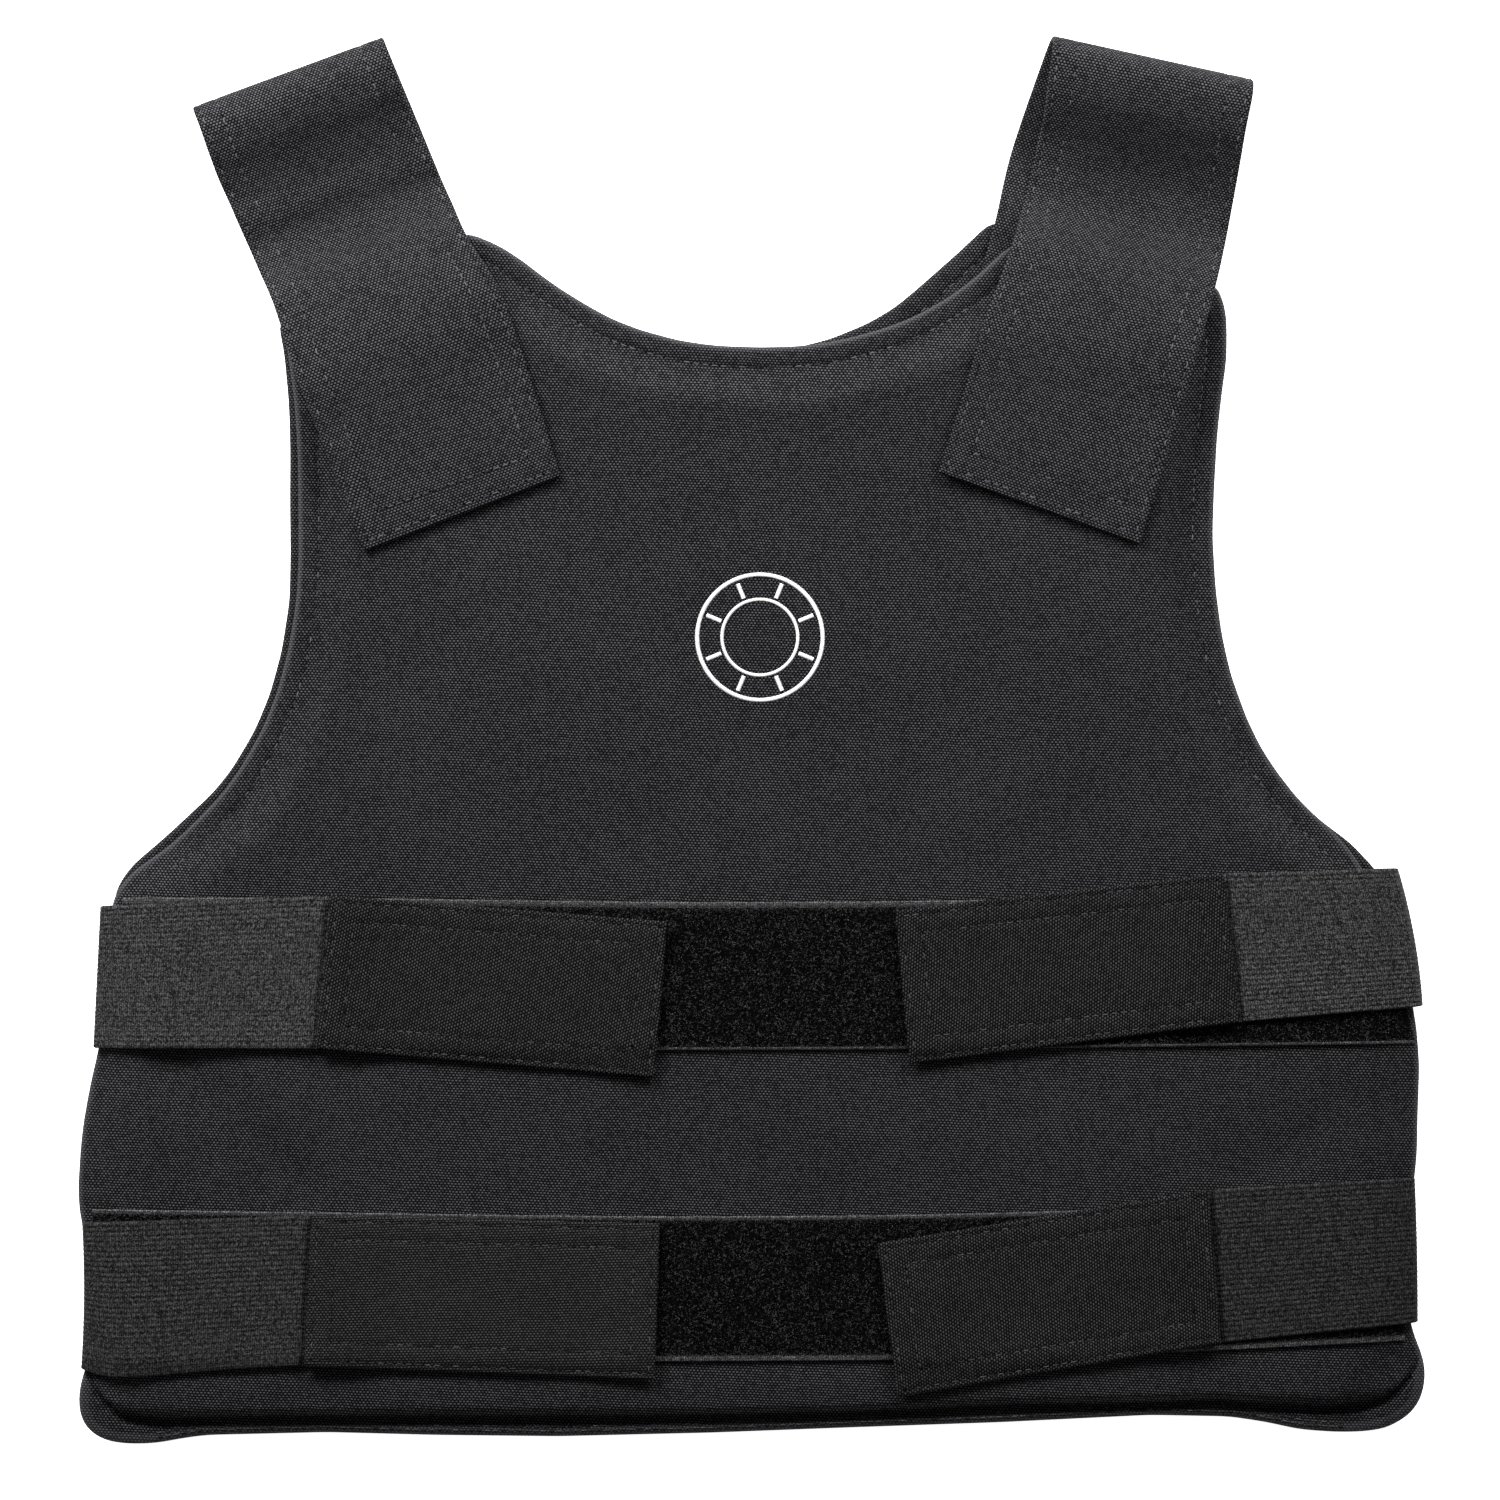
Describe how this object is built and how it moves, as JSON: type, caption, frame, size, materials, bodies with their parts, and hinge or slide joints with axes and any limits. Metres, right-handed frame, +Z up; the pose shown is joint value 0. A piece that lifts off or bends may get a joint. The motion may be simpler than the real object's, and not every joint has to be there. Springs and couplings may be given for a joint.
{
  "type": "bulletproof vest",
  "caption": "Soft body-armour vest lying flat: padded front and back panels, folded shoulder straps, ribbed side elastics with canvas tabs on loop bands.",
  "frame": {"origin": "centre of the footprint of the vest as it lies, on the surface that it lies on", "axes": "+Z up through the front panel, +Y from the hem to the neck, +X to the right of the laid-out front"},
  "size_m": [0.462, 0.4832, 0.0309],
  "materials": {
    "carrier_canvas": "black woven oxford canvas, matt with a slight sheen on its threads",
    "strap_canvas": "black woven canvas, doubled and stitched in two rows",
    "tab_canvas": "black woven canvas, doubled and stitched",
    "elastic_webbing": "black ribbed elastic webbing",
    "loop_pile": "black brushed loop pile with woven edges"
  },
  "bodies": {
    "root": {"back_panel": "carrier_canvas", "front_panel": "carrier_canvas", "loop_band_upper": "loop_pile", "loop_band_lower": "loop_pile", "shoulder_strap_left": "strap_canvas", "shoulder_strap_right": "strap_canvas", "side_elastic_upper_left": "elastic_webbing", "side_elastic_lower_left": "elastic_webbing", "side_elastic_upper_right": "elastic_webbing", "side_elastic_lower_right": "elastic_webbing", "hook_tab_upper_left": "tab_canvas", "hook_tab_lower_left": "tab_canvas", "hook_tab_upper_right": "tab_canvas", "hook_tab_lower_right": "tab_canvas"}
  },
  "joints": []
}
